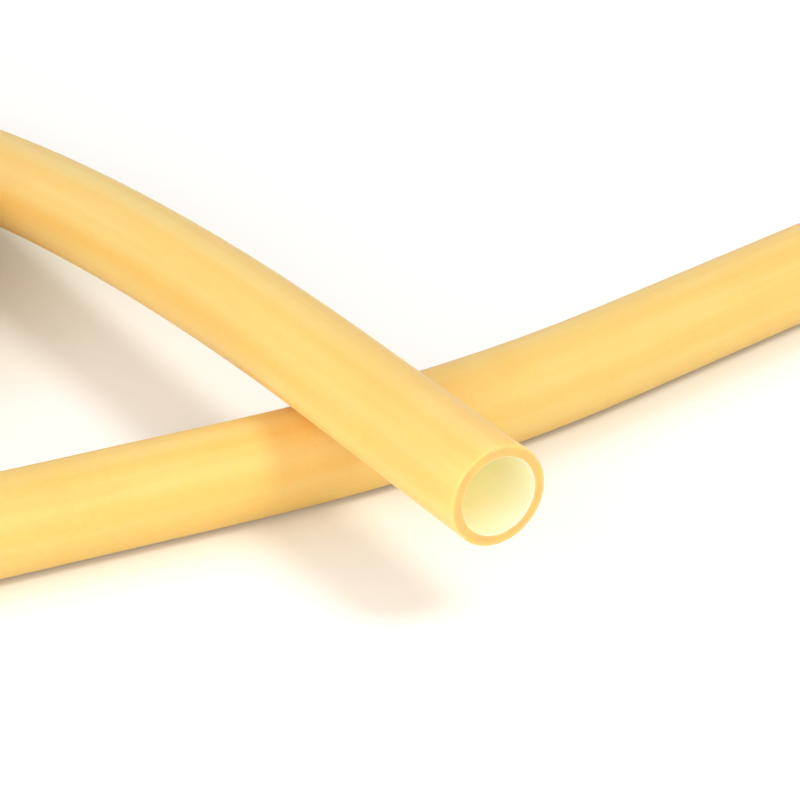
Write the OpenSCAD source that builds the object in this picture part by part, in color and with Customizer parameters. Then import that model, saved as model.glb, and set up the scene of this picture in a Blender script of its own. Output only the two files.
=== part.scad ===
// Rubber tubing: one length of plain soft hose that lies in a small flat coil on a bench.
// One tail runs out along the bench. The other climbs across it and ends in a square cut.
// Lengths are in millimetres and angles in degrees, with +Z up from the bench.

/* [Tube] */
// Inside diameter
bore = 8; // [7:0.5:10]
// Thickness of the rubber wall
wall = 1.2; // [1:0.1:2]

/* [Coil] */
// Whole turns between the two tails
turns = 2; // [1:1:4]
// Middle radius of the innermost turn
inner_turn_r = 42; // [38:1:46]
// Clear space between turns that lie side by side
turn_gap = 0.3; // [0.2:0.1:1]
// Clear space where the turns ride over the bench tail
ride_gap = 0.8; // [0.7:0.1:1.5]

/* [Ends] */
// Straight length up to the cut end that lies on top
top_end = 28; // [20:1:60]
// Straight length up to the cut end that lies on the bench
bench_end = 36; // [20:1:80]

/* [Hidden] */
$fn = 64;

// The tails cross at [0, 0] of the plan, and headings are counted from +X
bench_heading = 29;
top_heading = -58;

// Bench tail: a gentle bend on each side of the crossing, and a straight run to the coil
sweep_r = 165;
sweep_right = 13.5;
sweep_left = 3;
left_run = 33;

// Top tail: a leaning bend lifts it off the bench, and a crest levels it past the crossing
foot_r = 46;
foot_lean = 42;
climb = 11.5;
past_crossing = 6;

// A short straight parts two bends, and a gentle curve is laid as straights with knees between them
ease = 2;
knee_r = 90;
knee_a = 6;

od = bore + 2 * wall;
pitch = od + turn_gap;
rise = od + ride_gap;

function toward(a) = [cos(a), sin(a)];
function angle_of(v) = atan2(v[1], v[0]);
function wrap(a) = a - 360 * floor(a / 360);

// Foot and crest of the top tail, back to the point where it leaves the coil
foot_a = atan2(tan(climb), sin(foot_lean));
foot_roll = acos(cos(climb) * cos(foot_lean));
foot_rise = foot_r * sin(climb) * tan(foot_a / 2);
foot_aside = foot_r * (1 - cos(foot_a)) * cos(foot_lean);
foot_ahead = foot_r * (sin(foot_a) * cos(climb) + (1 - cos(foot_a)) * sin(foot_lean) * sin(climb));
foot_turn = angle_of([
  cos(climb) * cos(foot_a) + sin(foot_lean) * sin(climb) * sin(foot_a),
  cos(foot_lean) * sin(foot_a)
]);
crest_r = (pitch - foot_rise - ease * sin(climb)) / (1 - cos(climb));
crest_ahead = crest_r * sin(climb) + ease * cos(climb) - past_crossing;
exit_heading = top_heading + foot_turn;
coil_exit = foot_aside * toward(top_heading - 90)
  - (crest_ahead + foot_ahead) * toward(top_heading)
  - ease * toward(exit_heading);

// The coil leans: its high side rides over the bench tail, which crosses further round under more turns
high_side = 17 * turns - 130;
low_side = high_side + 180;
outer_turn_r = inner_turn_r + (turns + 0.5) * pitch;
outer_mid = coil_exit + outer_turn_r * toward(exit_heading - 90);
coil_mid = outer_mid - pitch / 2 * toward(high_side) - ease * toward(low_side - 90);

// Lead from the bench tail onto the innermost turn, tangent to both
tail_heading = bench_heading + 180;
lead_heading = tail_heading - sweep_left;
lead_side = toward(lead_heading - 90);
lead_start = sweep_r * (toward(tail_heading - 90) - lead_side) + left_run * toward(lead_heading);
to_mid = coil_mid - lead_start;
lead_r = (to_mid * to_mid - inner_turn_r * inner_turn_r - ease * ease)
  / (2 * (to_mid * lead_side - inner_turn_r));
lead_end = angle_of(to_mid - lead_r * lead_side) + atan2(ease, lead_r - inner_turn_r);

// A turn is two leaning half circles, one up to the high side and one down from it
function up_span(k) = 2 * inner_turn_r + (2 * k + 1) * pitch;
function down_span(k) = up_span(k) + pitch;
function lean(span) = atan2(rise, span);
function lean_r(span) = norm([rise, span]) / 2;
function lean_before(k) = k == 0 ? 0 : lean(down_span(k - 1));
function turn(k) = [
  [ease, lean_before(k) - lean(up_span(k)), lean_r(up_span(k)), 180],
  [ease, lean(down_span(k)) - lean(up_span(k)), lean_r(down_span(k)), 180]
];

// The knees of a gentle curve touch its arc, and the straight after them starts early by the slack
function knees(a) = ceil(a / knee_a);
function slack(r, a) = (r - knee_r) * tan(a / knees(a) / 2);
function gentle(feed, roll, r, a) = [
  for (i = [1 : knees(a)])
    i == 1 ? [feed + slack(r, a), roll, knee_r, a / knees(a)] : [2 * slack(r, a), 0, knee_r, a / knees(a)]
];

// Each row is a straight feed, a roll about the tube, and a bend by its radius and angle
bench_tail = [
  each gentle(0, 0, sweep_r, sweep_right),
  [bench_end + slack(sweep_r, sweep_right)]
];
coil_and_top_tail = [
  each gentle(0, 180, sweep_r, sweep_left),
  [left_run + slack(sweep_r, sweep_left), 0, lead_r, wrap(lead_heading + 90 - lead_end)],
  [ease, 0, inner_turn_r, wrap(lead_end - low_side)],
  for (k = [0 : turns - 1]) each turn(k),
  [ease, lean_before(turns), outer_turn_r, wrap(low_side - exit_heading - 90)],
  [ease, -foot_roll, foot_r, foot_a],
  each gentle(ease, 90 + foot_lean, crest_r, climb),
  [top_end + slack(crest_r, climb)]
];

// The origin is the middle of the footprint: coil at left and back, cut ends at right and front
bench_tip_heading = bench_heading + sweep_right;
bench_tip = sweep_r * (toward(bench_tip_heading - 90) - toward(bench_heading - 90))
  + bench_end * toward(bench_tip_heading);
top_tip = (past_crossing + top_end) * toward(top_heading);
last_span = down_span(turns - 1);
reach_left = norm([last_span / 2 * cos(high_side), lean_r(last_span) * sin(high_side)]) + od / 2;
reach_back = norm([last_span / 2 * sin(high_side), lean_r(last_span) * cos(high_side)]) + od / 2;
left = coil_mid[0] - reach_left;
right = bench_tip[0] + od / 2 * sin(bench_tip_heading);
front = top_tip[1] - od / 2 * cos(top_heading);
back = coil_mid[1] + reach_back;
middle = [left + right, front + back] / 2;

module section() {
  difference() {
    circle(d = od);
    circle(d = bore);
  }
}

module straight(l) {
  rotate([-90, 0, 0])
    linear_extrude(l)
      section();
}

// A bend turns about the origin and ends at [r, 0, 0], heading for +Y. Its arc is made a little long
// and trimmed square where it starts, so that it meets the straight before it flat
module bend(r, a) {
  spare = 90 / PI * od / r;
  rotate(-a)
    difference() {
      rotate(a)
        mirror([0, 1, 0])
          rotate_extrude(angle = a + spare)
            translate([r, 0])
              section();
      translate([0, -od, -od])
        cube([r + od, od, 2 * od]);
    }
}

// Lays the rows one after another, each from where the last one ended
// An angle eased to one whose cosine and sine are short decimals, so that stretches meet without a step
function exact(a) =
  let (
    n = ceil(350 * abs(sin(a))),
    near = round(1e6 * cos(a)),
    c = [for (k = [-n : n]) if (abs(near + k) < 1e6) (near + k) / 1e6],
    miss = [for (x = c) let (s = 1e6 * sqrt(1 - x * x)) abs(s - round(s))]
  )
  a % 90 == 0 ? a : sign(sin(a)) * acos(c[search(min(miss), miss)[0]]);

module run(rows, i = 0) {
  feed = rows[i][0];
  last = len(rows[i]) == 1;
  roll = last ? 0 : exact(rows[i][1]);
  r = rows[i][2];
  a = last ? 0 : exact(rows[i][3]);
  straight(feed);
  if (len(rows[i]) > 1)
    translate([0, feed, 0])
      rotate([0, roll, 0])
        translate([-r, 0, 0])
          rotate(a) {
            bend(r, a);
            translate([r, 0, 0])
              run(rows, i + 1);
          }
}

module tube() {
  color("#fbd983")
    translate([-middle[0], -middle[1], od / 2]) {
      rotate(bench_heading - 90)
        run(bench_tail);
      rotate(tail_heading - 90)
        run(coil_and_top_tail);
    }
}

tube();
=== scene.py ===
import math

import bmesh
import bpy
from mathutils import Matrix, Vector


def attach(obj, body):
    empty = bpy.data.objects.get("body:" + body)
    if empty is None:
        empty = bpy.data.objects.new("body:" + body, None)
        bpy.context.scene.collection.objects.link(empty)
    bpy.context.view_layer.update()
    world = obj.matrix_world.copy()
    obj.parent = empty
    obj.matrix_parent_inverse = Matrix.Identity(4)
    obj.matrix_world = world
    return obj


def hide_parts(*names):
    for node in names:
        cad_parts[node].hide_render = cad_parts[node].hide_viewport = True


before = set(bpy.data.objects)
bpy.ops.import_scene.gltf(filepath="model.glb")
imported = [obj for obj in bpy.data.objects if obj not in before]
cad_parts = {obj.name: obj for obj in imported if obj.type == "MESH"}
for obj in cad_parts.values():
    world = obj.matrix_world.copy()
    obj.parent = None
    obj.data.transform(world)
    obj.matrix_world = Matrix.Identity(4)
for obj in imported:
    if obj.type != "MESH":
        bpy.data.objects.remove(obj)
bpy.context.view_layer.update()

bl_info = {
    "name": "Rubber Tubing",
    "version": (1, 0, 0),
    "blender": (4, 5, 0),
    "location": "3D View > Sidebar > Tubing",
    "description": "A length of amber rubber tubing in a flat coil, with one tail crossing over the other",
    "category": "Object",
}

# Headings of the two tails where they cross, counted from +X
BENCH_HEADING = math.radians(29)
TOP_HEADING = math.radians(-58)

# Bench tail: a gentle bend on each side of the crossing, and a straight run to the coil
SWEEP_R = 0.165
SWEEP_RIGHT = math.radians(13.5)
SWEEP_LEFT = math.radians(3)
LEFT_RUN = 0.033

# Top tail: a leaning bend lifts it off the bench, and a crest levels it past the crossing
FOOT_R = 0.046
FOOT_LEAN = math.radians(42)
CLIMB = math.radians(11.5)
PAST_CROSSING = 0.006

# Straight between one bend and the next
EASE = 0.002

# Sides of the tube, and the longest step along it
SIDES = 56
BEND_STEP = math.radians(3)
LENGTH_STEP = 0.006

# Places of the three finishes in the tube's list of materials
SKIN, BORE, CUT = 0, 1, 2

# Camera: where its axis meets the tube, measured from the crossing, and how it stands to that
AIM_FROM_CROSSING = (0.00870, 0.01174, 0.0052)
CAMERA_TILT = math.radians(27.26)
CAMERA_DISTANCE = 0.4
CAMERA_LENS = 171.8
CAMERA_SENSOR = 36

# Lamps: diameter, and place from the point that the camera looks at
KEY_LAMP = (0.25, (0.40, -0.34, 0.66))
BROAD_LAMP = (0.9, (-0.57, -0.65, 0.38))
FRONT_LAMP = (0.5, (0.03, -0.84, 0.42))

# Share of the sky's strength at the horizon and overhead
SKY_LOW, SKY_HIGH = 1.15, 0.72

# Half the floor's side, and its drop below the tube
FLOOR_REACH = 3
FLOOR_DROP = 0.00001


# Settings
class TubeSettings(bpy.types.PropertyGroup):
    bore: bpy.props.FloatProperty(
        name="Bore", description="Inside diameter", default=0.008, unit="LENGTH"
    )
    wall: bpy.props.FloatProperty(
        name="Wall", description="Thickness of the rubber", default=0.0012, unit="LENGTH"
    )
    turns: bpy.props.IntProperty(name="Turns", description="Whole turns of the coil", default=2)
    inner_turn_r: bpy.props.FloatProperty(
        name="Inner turn", description="Middle radius of the innermost turn", default=0.042, unit="LENGTH"
    )
    turn_gap: bpy.props.FloatProperty(
        name="Turn gap", description="Space between turns side by side", default=0.0003, unit="LENGTH"
    )
    ride_gap: bpy.props.FloatProperty(
        name="Ride gap", description="Space where turns ride over the tail", default=0.0008, unit="LENGTH"
    )
    top_end: bpy.props.FloatProperty(
        name="Top end", description="Straight length up to the upper cut end", default=0.028, unit="LENGTH"
    )
    bench_end: bpy.props.FloatProperty(
        name="Bench end", description="Straight length up to the lower cut end", default=0.036, unit="LENGTH"
    )
    rim: bpy.props.FloatProperty(
        name="Rim", description="Softening of the cut edges", default=0.0002, unit="LENGTH"
    )
    amber: bpy.props.FloatVectorProperty(
        name="Amber", description="Colour of the rubber", subtype="COLOR", size=4,
        min=0, max=1, default=(0.93, 0.595, 0.207, 1),
    )
    deep_amber: bpy.props.FloatVectorProperty(
        name="Deep amber", description="Colour of its denser patches", subtype="COLOR", size=4,
        min=0, max=1, default=(0.91, 0.505, 0.125, 1),
    )
    talc: bpy.props.FloatVectorProperty(
        name="Talc", description="Colour of the powder left on it", subtype="COLOR", size=4,
        min=0, max=1, default=(0.99, 0.74, 0.315, 1),
    )
    # Lining: the rubber's own amber made paler than the skin, painted light that stands for light coming in
    # through the thin wall
    lining: bpy.props.FloatVectorProperty(
        name="Lining", description="Colour of the powdered bore", subtype="COLOR", size=4,
        min=0, max=1, default=(1.0, 0.70, 0.40, 1),
    )
    # Cut: the rubber's own amber made darker than the skin, painted shade that offsets the stronger lamp
    # light on the cut faces
    cut: bpy.props.FloatVectorProperty(
        name="Cut", description="Colour of the cut faces", subtype="COLOR", size=4,
        min=0, max=1, default=(0.79, 0.42, 0.155, 1),
    )


class StageSettings(bpy.types.PropertyGroup):
    floor: bpy.props.FloatVectorProperty(
        name="Floor", description="Colour of the floor", subtype="COLOR", size=4,
        min=0, max=1, default=(0.96, 0.95, 0.93, 1),
    )
    # Under: painted shade on the floor close under the tube, tinted warm to stand for light coming through
    # the tube
    under: bpy.props.FloatVectorProperty(
        name="Under", description="Colour of the floor close under the tube, warmed by light through it",
        subtype="COLOR", size=4, min=0, max=1, default=(0.79, 0.805, 0.72, 1),
    )
    key_power: bpy.props.FloatProperty(
        name="Key", description="Power of the soft lamp", default=2.9, unit="POWER"
    )
    fill_power: bpy.props.FloatProperty(
        name="Fill", description="Power of the broad lamp", default=4.7, unit="POWER"
    )
    front_power: bpy.props.FloatProperty(
        name="Front", description="Power of the weak lamp beside the camera", default=1.35, unit="POWER"
    )
    sky: bpy.props.FloatProperty(name="Sky", description="Strength of the light all round", default=0.64)
    lift: bpy.props.FloatProperty(
        name="Lift", description="Brightness that the camera sees added on the floor", default=0.10
    )


# Route
def toward(angle):
    return Vector((math.cos(angle), math.sin(angle)))


def angle_of(v):
    return math.atan2(v[1], v[0])


def route(t):
    """The tube's start as a matrix, its rows and its middle.

    A row is a straight feed, a roll, and a bend's radius and angle. The middle is measured from the crossing.
    """
    sin, cos = math.sin, math.cos
    od = t.bore + 2 * t.wall
    pitch = od + t.turn_gap
    rise = od + t.ride_gap

    # Foot and crest of the top tail, back to the point where it leaves the coil
    foot_a = math.atan2(math.tan(CLIMB), sin(FOOT_LEAN))
    foot_roll = math.acos(cos(CLIMB) * cos(FOOT_LEAN))
    foot_rise = FOOT_R * sin(CLIMB) * math.tan(foot_a / 2)
    foot_aside = FOOT_R * (1 - cos(foot_a)) * cos(FOOT_LEAN)
    foot_ahead = FOOT_R * (sin(foot_a) * cos(CLIMB) + (1 - cos(foot_a)) * sin(FOOT_LEAN) * sin(CLIMB))
    foot_turn = math.atan2(
        cos(FOOT_LEAN) * sin(foot_a),
        cos(CLIMB) * cos(foot_a) + sin(FOOT_LEAN) * sin(CLIMB) * sin(foot_a),
    )
    crest_r = (pitch - foot_rise - EASE * sin(CLIMB)) / (1 - cos(CLIMB))
    crest_ahead = crest_r * sin(CLIMB) + EASE * cos(CLIMB) - PAST_CROSSING
    exit_heading = TOP_HEADING + foot_turn
    coil_exit = (
        foot_aside * toward(TOP_HEADING - math.pi / 2)
        - (crest_ahead + foot_ahead) * toward(TOP_HEADING)
        - EASE * toward(exit_heading)
    )

    # The coil leans, and its high side rides over the bench tail
    high_side = math.radians(17 * t.turns - 130)
    low_side = high_side + math.pi
    outer_turn_r = t.inner_turn_r + (t.turns + 0.5) * pitch
    outer_mid = coil_exit + outer_turn_r * toward(exit_heading - math.pi / 2)
    coil_mid = outer_mid - pitch / 2 * toward(high_side) - EASE * toward(low_side - math.pi / 2)

    # Lead from the bench tail onto the innermost turn
    tail_heading = BENCH_HEADING + math.pi
    lead_heading = tail_heading - SWEEP_LEFT
    lead_side = toward(lead_heading - math.pi / 2)
    lead_start = SWEEP_R * (toward(tail_heading - math.pi / 2) - lead_side) + LEFT_RUN * toward(lead_heading)
    to_mid = coil_mid - lead_start
    lead_r = (to_mid.dot(to_mid) - t.inner_turn_r**2 - EASE**2) / (
        2 * (to_mid.dot(lead_side) - t.inner_turn_r)
    )
    lead_end = angle_of(to_mid - lead_r * lead_side) + math.atan2(EASE, lead_r - t.inner_turn_r)

    # A turn is two leaning half circles, one up to the high side and one down from it
    def turn(k):
        up = 2 * t.inner_turn_r + (2 * k + 1) * pitch
        down = up + pitch
        before = math.atan2(rise, up - pitch) if k else 0
        lean_up, lean_down = math.atan2(rise, up), math.atan2(rise, down)
        return [
            (EASE, before - lean_up, math.hypot(rise, up) / 2, math.pi),
            (EASE, lean_down - lean_up, math.hypot(rise, down) / 2, math.pi),
        ]

    last_span = 2 * t.inner_turn_r + 2 * t.turns * pitch
    last_lean = math.atan2(rise, last_span)
    rows = [
        (t.bench_end, math.pi, SWEEP_R, SWEEP_RIGHT),
        (0, 0, SWEEP_R, SWEEP_LEFT),
        (LEFT_RUN, 0, lead_r, (lead_heading + math.pi / 2 - lead_end) % math.tau),
        (EASE, 0, t.inner_turn_r, (lead_end - low_side) % math.tau),
        *[row for k in range(t.turns) for row in turn(k)],
        (EASE, last_lean, outer_turn_r, (low_side - exit_heading - math.pi / 2) % math.tau),
        (EASE, -foot_roll, FOOT_R, foot_a),
        (EASE, math.pi / 2 + FOOT_LEAN, crest_r, CLIMB),
        (t.top_end,),
    ]

    # The middle of the footprint is the origin, so its four sides are found from the crossing
    tip_heading = BENCH_HEADING + SWEEP_RIGHT
    bench_tip = SWEEP_R * (
        toward(tip_heading - math.pi / 2) - toward(BENCH_HEADING - math.pi / 2)
    ) + t.bench_end * toward(tip_heading)
    top_tip = (PAST_CROSSING + t.top_end) * toward(TOP_HEADING)
    lean_r = math.hypot(rise, last_span) / 2
    left = coil_mid[0] - math.hypot(last_span / 2 * cos(high_side), lean_r * sin(high_side)) - od / 2
    back = coil_mid[1] + math.hypot(last_span / 2 * sin(high_side), lean_r * cos(high_side)) + od / 2
    right = bench_tip[0] + od / 2 * sin(tip_heading)
    front = top_tip[1] - od / 2 * cos(TOP_HEADING)
    middle = Vector((left + right, front + back)) / 2
    at_tip = Matrix.Translation((*(bench_tip - middle), od / 2))
    return at_tip @ Matrix.Rotation(tip_heading + math.pi / 2, 4, "Z"), rows, middle


def stations(start, rows):
    """Matrices along the tube, which travels along +Y of each, and the length travelled at each."""
    at, rolled, run, found = start, 0.0, 0.0, []

    def mark(m, s):
        found.append((m @ Matrix.Rotation(-rolled, 4, "Y"), s))

    for row in rows:
        feed = row[0]
        steps = math.ceil(feed / LENGTH_STEP)
        for i in range(steps):
            mark(at @ Matrix.Translation((0, feed * i / steps, 0)), run + feed * i / steps)
        at = at @ Matrix.Translation((0, feed, 0))
        run += feed
        if len(row) == 1:
            mark(at, run)
            break
        roll, r, a = row[1:]
        at = at @ Matrix.Rotation(roll, 4, "Y")
        rolled += roll
        to_centre = Matrix.Translation((-r, 0, 0))
        from_centre = to_centre.inverted()
        steps = max(math.ceil(a / BEND_STEP), math.ceil(r * a / LENGTH_STEP))
        for i in range(steps):
            bent = a * i / steps
            mark(at @ to_centre @ Matrix.Rotation(bent, 4, "Z") @ from_centre, run + r * bent)
        at = at @ to_centre @ Matrix.Rotation(a, 4, "Z") @ from_centre
        run += r * a
    return found


# Node helpers
def node(tree, kind, at=(0, 0), **values):
    made = tree.nodes.new(kind)
    made.location = at
    for key, value in values.items():
        setattr(made, key, value)
    return made


def group(name, inputs, outputs):
    tree = bpy.data.node_groups.new(name, "ShaderNodeTree")
    for label, kind, default in inputs:
        socket = tree.interface.new_socket(label, in_out="INPUT", socket_type=kind)
        if default is not None:
            socket.default_value = default
    for label, kind in outputs:
        tree.interface.new_socket(label, in_out="OUTPUT", socket_type=kind)
    return tree, node(tree, "NodeGroupInput", (-600, 0)), node(tree, "NodeGroupOutput", (600, 0))


def clouding_group():
    """Slow change in the density of the rubber along and round the tube."""
    tree, given, out = group(
        "amber_clouding",
        [("Place", "NodeSocketVector", None), ("Size", "NodeSocketFloat", 60.0)],
        [("Density", "NodeSocketFloat")],
    )
    wide = node(tree, "ShaderNodeTexNoise", (-200, 0))
    wide.inputs["Detail"].default_value = 3
    spread = node(tree, "ShaderNodeMapRange", (200, 0))
    spread.inputs["From Min"].default_value = 0.40
    spread.inputs["From Max"].default_value = 0.80
    spread.inputs["To Max"].default_value = 0.5
    tree.links.new(given.outputs["Place"], wide.inputs["Vector"])
    tree.links.new(given.outputs["Size"], wide.inputs["Scale"])
    tree.links.new(wide.outputs["Fac"], spread.inputs["Value"])
    tree.links.new(spread.outputs["Result"], out.inputs["Density"])
    return tree


def talc_group():
    """Fine powder that lies in patches."""
    tree, given, out = group(
        "talc_dust",
        [("Place", "NodeSocketVector", None), ("Amount", "NodeSocketFloat", 0.5)],
        [("Powder", "NodeSocketFloat")],
    )
    patch = node(tree, "ShaderNodeTexNoise", (-300, 150))
    patch.inputs["Scale"].default_value = 140
    patch.inputs["Detail"].default_value = 2
    grain = node(tree, "ShaderNodeTexNoise", (-300, -150))
    grain.inputs["Scale"].default_value = 2600
    grain.inputs["Detail"].default_value = 2
    both = node(tree, "ShaderNodeMath", (-60, 0), operation="MULTIPLY")
    keep = node(tree, "ShaderNodeMapRange", (140, 0))
    keep.inputs["From Min"].default_value = 0.24
    keep.inputs["From Max"].default_value = 0.46
    scaled = node(tree, "ShaderNodeMath", (360, 0), operation="MULTIPLY")
    tree.links.new(given.outputs["Place"], patch.inputs["Vector"])
    tree.links.new(given.outputs["Place"], grain.inputs["Vector"])
    tree.links.new(patch.outputs["Fac"], both.inputs[0])
    tree.links.new(grain.outputs["Fac"], both.inputs[1])
    tree.links.new(both.outputs[0], keep.inputs["Value"])
    tree.links.new(keep.outputs["Result"], scaled.inputs[0])
    tree.links.new(given.outputs["Amount"], scaled.inputs[1])
    tree.links.new(scaled.outputs[0], out.inputs["Powder"])
    return tree


def mixed(tree, factor, a, b, at):
    """A colour node that goes from a to b by the factor; a and b are colours or sockets."""
    mix = node(tree, "ShaderNodeMix", at, data_type="RGBA")
    tree.links.new(factor, mix.inputs["Factor"])
    for value, socket in ((a, mix.inputs[6]), (b, mix.inputs[7])):
        if isinstance(value, bpy.types.NodeSocket):
            tree.links.new(value, socket)
        else:
            socket.default_value = value
    return mix.outputs[2]


def white_rays(tree, at):
    """1 for rays that show the background: from the camera, or by a gloss or through glass."""
    seen = node(tree, "ShaderNodeLightPath", at)
    reflected = node(tree, "ShaderNodeMath", (at[0] + 200, at[1]), operation="MAXIMUM")
    any_ray = node(tree, "ShaderNodeMath", (at[0] + 400, at[1]), operation="MAXIMUM")
    tree.links.new(seen.outputs["Is Camera Ray"], reflected.inputs[0])
    tree.links.new(seen.outputs["Is Glossy Ray"], reflected.inputs[1])
    tree.links.new(reflected.outputs[0], any_ray.inputs[0])
    tree.links.new(seen.outputs["Is Transmission Ray"], any_ray.inputs[1])
    return any_ray.outputs[0]


def rubber(name, pale, dense, t, clouding, talc, *, powder, streaks, rough, along, reach, spread):
    """Translucent amber rubber, pale with denser patches and lines.

    Powder is the amount of talc and streaks that of the lines, which along stretches lengthwise as the die
    left them. Reach is how far light travels inside, and spread the share of that for red, green and blue.
    """
    material = bpy.data.materials.new(name)
    material.use_nodes = True
    tree = material.node_tree
    link = tree.links.new
    shader = tree.nodes["Principled BSDF"]
    shader.location = (700, 0)
    shader.inputs["Subsurface Weight"].default_value = 1.0
    shader.inputs["Subsurface Radius"].default_value = spread
    shader.inputs["Subsurface Scale"].default_value = reach
    shader.inputs["IOR"].default_value = 1.5
    shader.inputs["Specular IOR Level"].default_value = 0.12
    place = node(tree, "ShaderNodeAttribute", (-900, 0), attribute_name="straight")

    cloud = node(tree, "ShaderNodeGroup", (-500, 250), node_tree=clouding)
    cloud.inputs["Size"].default_value = 55
    link(place.outputs["Vector"], cloud.inputs["Place"])
    colour = mixed(tree, cloud.outputs["Density"], pale, dense, (-250, 250))

    stretch = node(tree, "ShaderNodeMapping", (-700, -200))
    stretch.inputs["Scale"].default_value = (1, 1, along)
    lines = node(tree, "ShaderNodeTexNoise", (-500, -200))
    lines.inputs["Scale"].default_value = 900
    lines.inputs["Detail"].default_value = 3
    link(place.outputs["Vector"], stretch.inputs["Vector"])
    link(stretch.outputs["Vector"], lines.inputs["Vector"])
    streak = node(tree, "ShaderNodeMapRange", (-250, -60))
    streak.inputs["From Min"].default_value = 0.42
    streak.inputs["From Max"].default_value = 0.68
    streak.inputs["To Max"].default_value = streaks
    link(lines.outputs["Fac"], streak.inputs["Value"])
    colour = mixed(tree, streak.outputs["Result"], colour, dense, (-100, 400))

    # Broad soft bands that run the whole length
    parts = node(tree, "ShaderNodeSeparateXYZ", (-900, 500))
    round_angle = node(tree, "ShaderNodeMath", (-700, 500), operation="ARCTAN2")
    bands = node(tree, "ShaderNodeMath", (-520, 500), operation="MULTIPLY")
    bands.inputs[1].default_value = 7
    wave = node(tree, "ShaderNodeMath", (-340, 500), operation="SINE")
    band = node(tree, "ShaderNodeMapRange", (-160, 560))
    band.inputs["From Min"].default_value = -0.2
    band.inputs["To Max"].default_value = streaks
    link(place.outputs["Vector"], parts.inputs["Vector"])
    link(parts.outputs["Y"], round_angle.inputs[0])
    link(parts.outputs["X"], round_angle.inputs[1])
    link(round_angle.outputs[0], bands.inputs[0])
    link(bands.outputs[0], wave.inputs[0])
    link(wave.outputs[0], band.inputs["Value"])
    colour = mixed(tree, band.outputs["Result"], colour, dense, (40, 500))

    dust = node(tree, "ShaderNodeGroup", (-500, 20), node_tree=talc)
    dust.inputs["Amount"].default_value = powder
    link(place.outputs["Vector"], dust.inputs["Place"])
    colour = mixed(tree, dust.outputs["Powder"], colour, t.talc, (50, 250))
    link(colour, shader.inputs["Base Color"])

    gloss = node(tree, "ShaderNodeMapRange", (50, 0))
    gloss.inputs["To Min"].default_value = rough - 0.06
    gloss.inputs["To Max"].default_value = rough + 0.08
    link(lines.outputs["Fac"], gloss.inputs["Value"])
    link(gloss.outputs["Result"], shader.inputs["Roughness"])

    grain = node(tree, "ShaderNodeTexNoise", (-500, -450))
    grain.inputs["Scale"].default_value = 2200
    grain.inputs["Detail"].default_value = 2
    link(place.outputs["Vector"], grain.inputs["Vector"])
    height = node(tree, "ShaderNodeMath", (-250, -300), operation="ADD")
    link(lines.outputs["Fac"], height.inputs[0])
    link(grain.outputs["Fac"], height.inputs[1])
    bump = node(tree, "ShaderNodeBump", (300, -300))
    bump.inputs["Strength"].default_value = 0.25
    bump.inputs["Distance"].default_value = 0.00004
    link(height.outputs[0], bump.inputs["Height"])
    link(bump.outputs["Normal"], shader.inputs["Normal"])
    return material


# Tube
class TUBING_OT_tube(bpy.types.Operator):
    bl_idname = "tubing.tube"
    bl_label = "Rubber tube"

    def execute(self, context):
        t = context.scene.tubing
        od = t.bore + 2 * t.wall
        start, rows, _ = route(t)
        marks = stations(start, rows)
        upright = Matrix.Rotation(math.pi / 2, 4, "X")

        bm = bmesh.new()
        straight = bm.verts.layers.float_vector.new("straight")
        ends = []
        for finish, r in ((SKIN, od / 2), (BORE, t.bore / 2)):
            ring = bmesh.ops.create_circle(bm, segments=SIDES, radius=r, matrix=start @ upright)["verts"]
            back = start.inverted()
            for v in ring:
                local = back @ v.co
                v[straight] = (local.x, local.z, 0)
            loop = list({e for v in ring for e in v.link_edges})
            ends.append([loop])
            for (was, _), (now, s) in zip(marks, marks[1:]):
                grown = bmesh.ops.extrude_edge_only(bm, edges=loop)["geom"]
                ring = [g for g in grown if isinstance(g, bmesh.types.BMVert)]
                fresh = set(ring)
                loop = [
                    g for g in grown
                    if isinstance(g, bmesh.types.BMEdge) and g.verts[0] in fresh and g.verts[1] in fresh
                ]
                bmesh.ops.transform(bm, matrix=now @ was.inverted(), verts=ring)
                for v in ring:
                    v[straight] = (v[straight].x, v[straight].y, s)
                for g in grown:
                    if isinstance(g, bmesh.types.BMFace):
                        g.material_index = finish
                        g.smooth = True
            ends[-1].append(loop)

        # The bore faces inwards, so that the bridges at the cut ends don't twist
        bmesh.ops.reverse_faces(bm, faces=[f for f in bm.faces if f.material_index == BORE])
        rims = []
        for outer, inner in zip(*ends):
            for f in bmesh.ops.bridge_loops(bm, edges=outer + inner)["faces"]:
                f.material_index = CUT
                f.smooth = False
            rims += outer + inner
        bmesh.ops.bevel(
            bm, geom=rims, offset=t.rim, offset_type="OFFSET", affect="EDGES",
            segments=3, profile=0.5, material=-1,
        )
        bmesh.ops.recalc_face_normals(bm, faces=bm.faces)

        mesh = bpy.data.meshes.new("rubber_tube")
        bm.to_mesh(mesh)
        bm.free()
        tube = bpy.data.objects.new("rubber_tube", mesh)
        context.scene.collection.objects.link(tube)

        # Skin, bore and cut faces, in the order of SKIN, BORE and CUT
        effects = (t, clouding_group(), talc_group())
        mesh.materials.append(rubber(
            "amber_rubber_skin", t.amber, t.deep_amber, *effects,
            powder=0.12, streaks=0.4, rough=0.42, along=0.03, reach=0.0022, spread=(1.0, 0.7, 0.4),
        ))
        # The bore's paler lining is painted light that stands for light coming in through the wall
        mesh.materials.append(rubber(
            "amber_rubber_bore", t.lining, t.talc, *effects,
            powder=0.1, streaks=0.15, rough=0.6, along=0.03, reach=0.03, spread=(1.0, 0.68, 0.24),
        ))
        # The cut faces' darker colour is painted shade that offsets the lamp light falling on them
        mesh.materials.append(rubber(
            "amber_rubber_cut", t.cut, t.deep_amber, *effects,
            powder=0.1, streaks=0.3, rough=0.55, along=0.6, reach=0.003, spread=(1.0, 0.8, 0.6),
        ))

        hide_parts("tube")
        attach(tube, "root")
        return {"FINISHED"}


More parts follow.
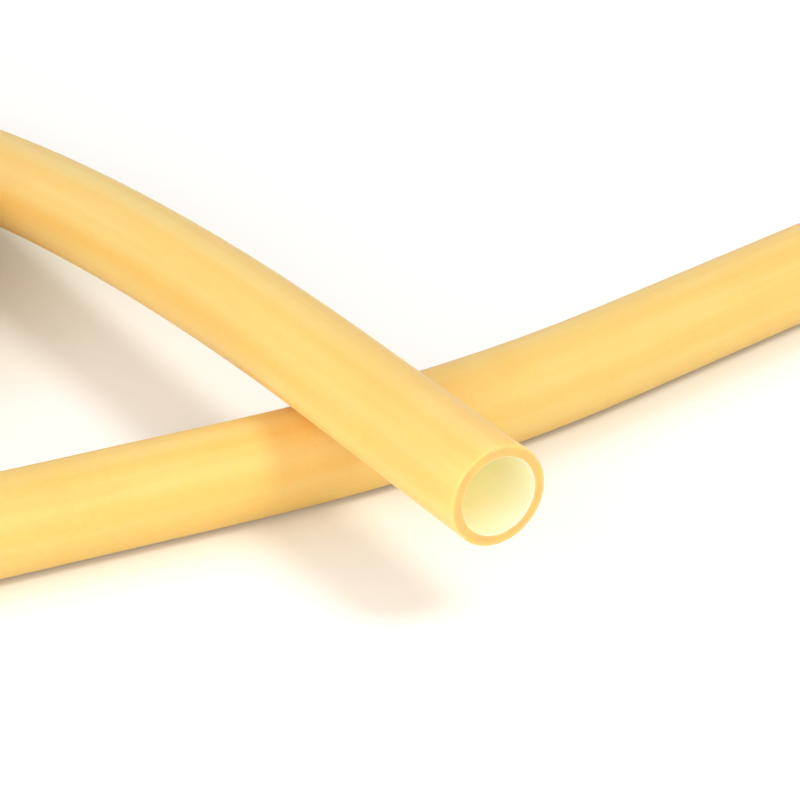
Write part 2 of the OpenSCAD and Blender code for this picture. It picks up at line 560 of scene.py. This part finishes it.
# Stage
def area_lamp(name, power, aim, size, offset):
    """A round lamp that faces the point aimed at."""
    lamp = bpy.data.lights.new(name, "AREA")
    lamp.shape = "DISK"
    lamp.size = size
    lamp.energy = power
    holder = bpy.data.objects.new(name, lamp)
    holder.location = aim + Vector(offset)
    holder.rotation_euler = (aim - holder.location).to_track_quat("-Z", "Y").to_euler()
    bpy.context.scene.collection.objects.link(holder)


class TUBING_OT_stage(bpy.types.Operator):
    """Set the camera, the floor, the lamps and the sky"""

    bl_idname = "tubing.stage"
    bl_label = "Stage"

    def execute(self, context):
        scene, s = context.scene, context.scene.tubing_stage
        scene.view_settings.view_transform = "Standard"
        middle = route(scene.tubing)[2]

        # The camera's axis meets the tube's middle height a little right of the crossing
        x, y, z = AIM_FROM_CROSSING
        aim = Vector((x - middle[0], y - middle[1], z))
        lens = bpy.data.cameras.new("camera")
        lens.lens = CAMERA_LENS
        lens.sensor_width = CAMERA_SENSOR
        lens.clip_start = 0.01
        camera = bpy.data.objects.new("camera", lens)
        camera.location = aim + CAMERA_DISTANCE * Vector((0, -math.cos(CAMERA_TILT), math.sin(CAMERA_TILT)))
        camera.rotation_euler = (math.pi / 2 - CAMERA_TILT, 0, 0)
        scene.collection.objects.link(camera)
        scene.camera = camera

        # Floor, pale and warm, brought up to white for the camera and keeping the shadow; close under the
        # tube it is painted darker and warmer, a painted shade that stands for the shadow and for light
        # coming through the tube
        bm = bmesh.new()
        bmesh.ops.create_grid(bm, x_segments=1, y_segments=1, size=FLOOR_REACH)
        bmesh.ops.translate(bm, vec=(0, 0, -FLOOR_DROP), verts=bm.verts)
        mesh = bpy.data.meshes.new("floor")
        bm.to_mesh(mesh)
        bm.free()
        floor = bpy.data.objects.new("floor", mesh)
        scene.collection.objects.link(floor)
        paint = bpy.data.materials.new("pale_floor")
        paint.use_nodes = True
        tree = paint.node_tree
        shader = tree.nodes["Principled BSDF"]
        # Painted shade: where the tube closes in on the floor, the floor turns to the under colour
        closed_in = node(tree, "ShaderNodeAmbientOcclusion", (-800, 300), samples=8)
        closed_in.inputs["Distance"].default_value = 0.017
        painted_shade_mask = node(tree, "ShaderNodeMapRange", (-600, 300))
        painted_shade_mask.inputs["From Min"].default_value = 0.86
        painted_shade_mask.inputs["From Max"].default_value = 0.5
        tree.links.new(closed_in.outputs["AO"], painted_shade_mask.inputs["Value"])
        shaded = mixed(tree, painted_shade_mask.outputs["Result"], s.floor, s.under, (-400, 300))
        tree.links.new(shaded, shader.inputs["Base Color"])
        shader.inputs["Roughness"].default_value = 0.9
        shader.inputs["Specular IOR Level"].default_value = 0.1
        shader.inputs["Emission Color"].default_value = s.floor
        lift = node(tree, "ShaderNodeMath", (-200, 0), operation="MULTIPLY")
        lift.inputs[1].default_value = s.lift
        tree.links.new(white_rays(tree, (-800, 0)), lift.inputs[0])
        tree.links.new(lift.outputs[0], shader.inputs["Emission Strength"])
        mesh.materials.append(paint)

        # A soft lamp high on the right, a broad one low on the left, and a weak one that looks into the bore
        area_lamp("soft_lamp", s.key_power, aim, *KEY_LAMP)
        area_lamp("broad_lamp", s.fill_power, aim, *BROAD_LAMP)
        area_lamp("front_lamp", s.front_power, aim, *FRONT_LAMP)

        # Sky, a little stronger at the horizon, and white where it is seen
        world = bpy.data.worlds.new("soft_sky")
        world.use_nodes = True
        scene.world = world
        tree = world.node_tree
        sky = tree.nodes["Background"]
        sky.inputs["Color"].default_value = (1, 1, 1, 1)
        level = node(tree, "ShaderNodeMapRange", (-200, 0))
        overhead = node(tree, "ShaderNodeTexCoord", (-1000, -300))
        parts = node(tree, "ShaderNodeSeparateXYZ", (-800, -300))
        shade = node(tree, "ShaderNodeMapRange", (-600, -300))
        shade.inputs["To Min"].default_value = s.sky * SKY_LOW
        shade.inputs["To Max"].default_value = s.sky * SKY_HIGH
        tree.links.new(overhead.outputs["Generated"], parts.inputs["Vector"])
        tree.links.new(parts.outputs["Z"], shade.inputs["Value"])
        tree.links.new(shade.outputs["Result"], level.inputs["To Min"])
        level.inputs["To Max"].default_value = 1.0
        tree.links.new(white_rays(tree, (-800, 0)), level.inputs["Value"])
        tree.links.new(level.outputs["Result"], sky.inputs["Strength"])
        return {"FINISHED"}


class TUBING_PT_panel(bpy.types.Panel):
    """Sizes, colours and pieces of the tubing"""

    bl_idname = "TUBING_PT_panel"
    bl_label = "Rubber tubing"
    bl_space_type = "VIEW_3D"
    bl_region_type = "UI"
    bl_category = "Tubing"

    def draw(self, context):
        for settings in (context.scene.tubing, context.scene.tubing_stage):
            for name in settings.__annotations__:
                self.layout.prop(settings, name)
        for piece in (TUBING_OT_stage, TUBING_OT_tube):
            self.layout.operator(piece.bl_idname)


CLASSES = (TubeSettings, StageSettings, TUBING_OT_stage, TUBING_OT_tube, TUBING_PT_panel)


def register():
    for cls in CLASSES:
        bpy.utils.register_class(cls)
    bpy.types.Scene.tubing = bpy.props.PointerProperty(type=TubeSettings)
    bpy.types.Scene.tubing_stage = bpy.props.PointerProperty(type=StageSettings)


def unregister():
    del bpy.types.Scene.tubing_stage
    del bpy.types.Scene.tubing
    for cls in reversed(CLASSES):
        bpy.utils.unregister_class(cls)


def main():
    register()
    bpy.ops.tubing.stage()
    bpy.ops.tubing.tube()


if __name__ == "__main__":
    main()
